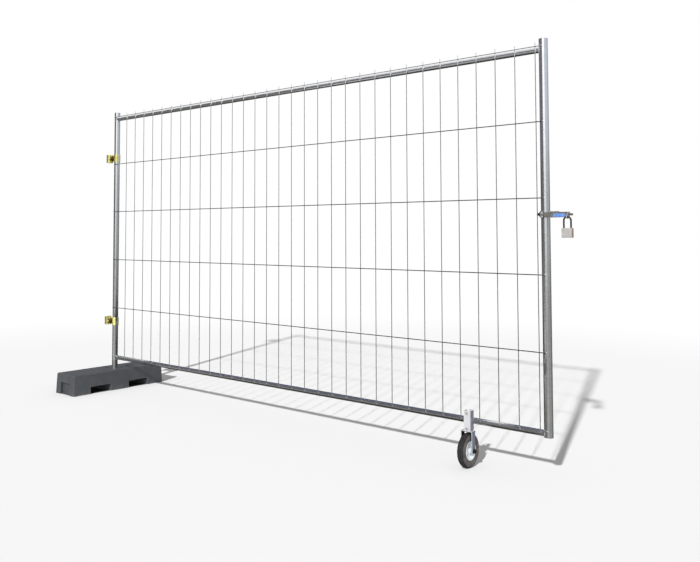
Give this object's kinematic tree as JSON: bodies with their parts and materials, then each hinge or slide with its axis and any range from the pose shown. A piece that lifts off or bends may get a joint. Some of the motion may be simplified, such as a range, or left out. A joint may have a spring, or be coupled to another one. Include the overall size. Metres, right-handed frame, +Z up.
{
  "type": "temporary fence gate",
  "caption": "Tube framed wire mesh gate leaf that swings in a moulded foot block on post couplers, with a wheel under its free end and a padlocked hasp.",
  "frame": {"origin": "on the ground, under the axis of the hinge post", "axes": "+X along the closed gate from the hinge post to the latch post, +Y from the mesh side to the back, +Z up"},
  "size_m": [3.7715, 0.8, 2.1],
  "materials": {
    "galvanised_steel": "hot dip galvanised tube and wire, slightly weathered",
    "bracket_zinc": "bright zinc plated flat bar and sheet",
    "bolt_zinc": "zinc plated bolts gone slightly tan",
    "dark_steel": "dark steel fasteners",
    "yellow_zinc": "yellow passivated zinc",
    "yellow_bolts": "yellow passivated zinc, darker with use",
    "foot_plastic": "recycled plastic, moulded, dark grey",
    "tyre_rubber": "black rubber",
    "rim_paint": "pale silver paint on pressed steel",
    "rivet_zinc": "zinc plated",
    "bearing_plastic": "pale nylon",
    "fork_paint": "blue grey zinc coated plate",
    "plate_paint": "plain blue painted plate",
    "shackle_steel": "dark hardened steel",
    "case_metal": "satin metal, light grey",
    "plug_brass": "brass"
  },
  "bodies": {
    "base": {"foot_block": "foot_plastic", "upper_coupler_front": "yellow_zinc", "upper_coupler_rear": "yellow_zinc", "lower_coupler_front": "yellow_zinc", "lower_coupler_rear": "yellow_zinc", "upper_coupler_bolt": "yellow_bolts", "upper_coupler_washer": "yellow_bolts", "upper_coupler_nut": "yellow_bolts", "lower_coupler_bolt": "yellow_bolts", "lower_coupler_washer": "yellow_bolts", "lower_coupler_nut": "yellow_bolts"},
    "gate_leaf": {"hinge_post": "galvanised_steel", "latch_post": "galvanised_steel", "top_rail": "galvanised_steel", "bottom_rail": "galvanised_steel", "vertical_wires": "galvanised_steel", "horizontal_wires": "galvanised_steel", "wheel_stem_plate": "bracket_zinc", "wheel_clamp_plate": "bracket_zinc", "wheel_clamp_bolts": "bolt_zinc", "wheel_clamp_nuts": "bolt_zinc", "wheel_axle": "dark_steel", "wheel_axle_nut": "dark_steel", "latch_bolt": "dark_steel", "latch_nut": "dark_steel", "latch_hinge_pin": "dark_steel", "axle_spacers": "rivet_zinc", "wheel_fork": "fork_paint", "latch_keeper": "bracket_zinc"},
    "wheel": {"tyre": "tyre_rubber", "rim_left": "rim_paint", "rim_right": "rim_paint", "rim_rivets": "rivet_zinc", "wheel_hub": "rim_paint", "wheel_bearing": "bearing_plastic"},
    "hasp": {"latch_hasp": "bracket_zinc", "latch_face_plate": "plate_paint"},
    "shackle": {"padlock_shackle": "shackle_steel"},
    "padlock_body": {"padlock_case": "case_metal"},
    "key_plug": {"padlock_plug": "plug_brass"}
  },
  "joints": [
    {"name": "gate_swing", "type": "hinge", "parent": "base", "child": "gate_leaf", "pos_m": [0, 0, 1], "axis": [0, 0, 1], "range_deg": [0, 150]},
    {"name": "wheel_spin", "type": "hinge", "parent": "gate_leaf", "child": "wheel", "pos_m": [3.0429, -0.022, 0.086], "axis": [1, 0, 0], "continuous": true},
    {"name": "hasp_swing", "type": "hinge", "parent": "gate_leaf", "child": "hasp", "pos_m": [3.453, -0.0285, 1.256], "axis": [0, 0, 1], "range_deg": [-1.5, 0]},
    {"name": "padlock_swing", "type": "hinge", "parent": "gate_leaf", "child": "shackle", "pos_m": [3.579, -0.036, 1.245], "axis": [1, 0, 0], "range_deg": [-100, 3]},
    {"name": "padlock_release", "type": "slide", "parent": "shackle", "child": "padlock_body", "axis": [0, 0, 1], "range_m": [-0.01, 0]},
    {"name": "key_turn", "type": "hinge", "parent": "padlock_body", "child": "key_plug", "pos_m": [3.579, -0.036, 1.16], "axis": [0, 0, 1], "range_deg": [0, 90]}
  ]
}
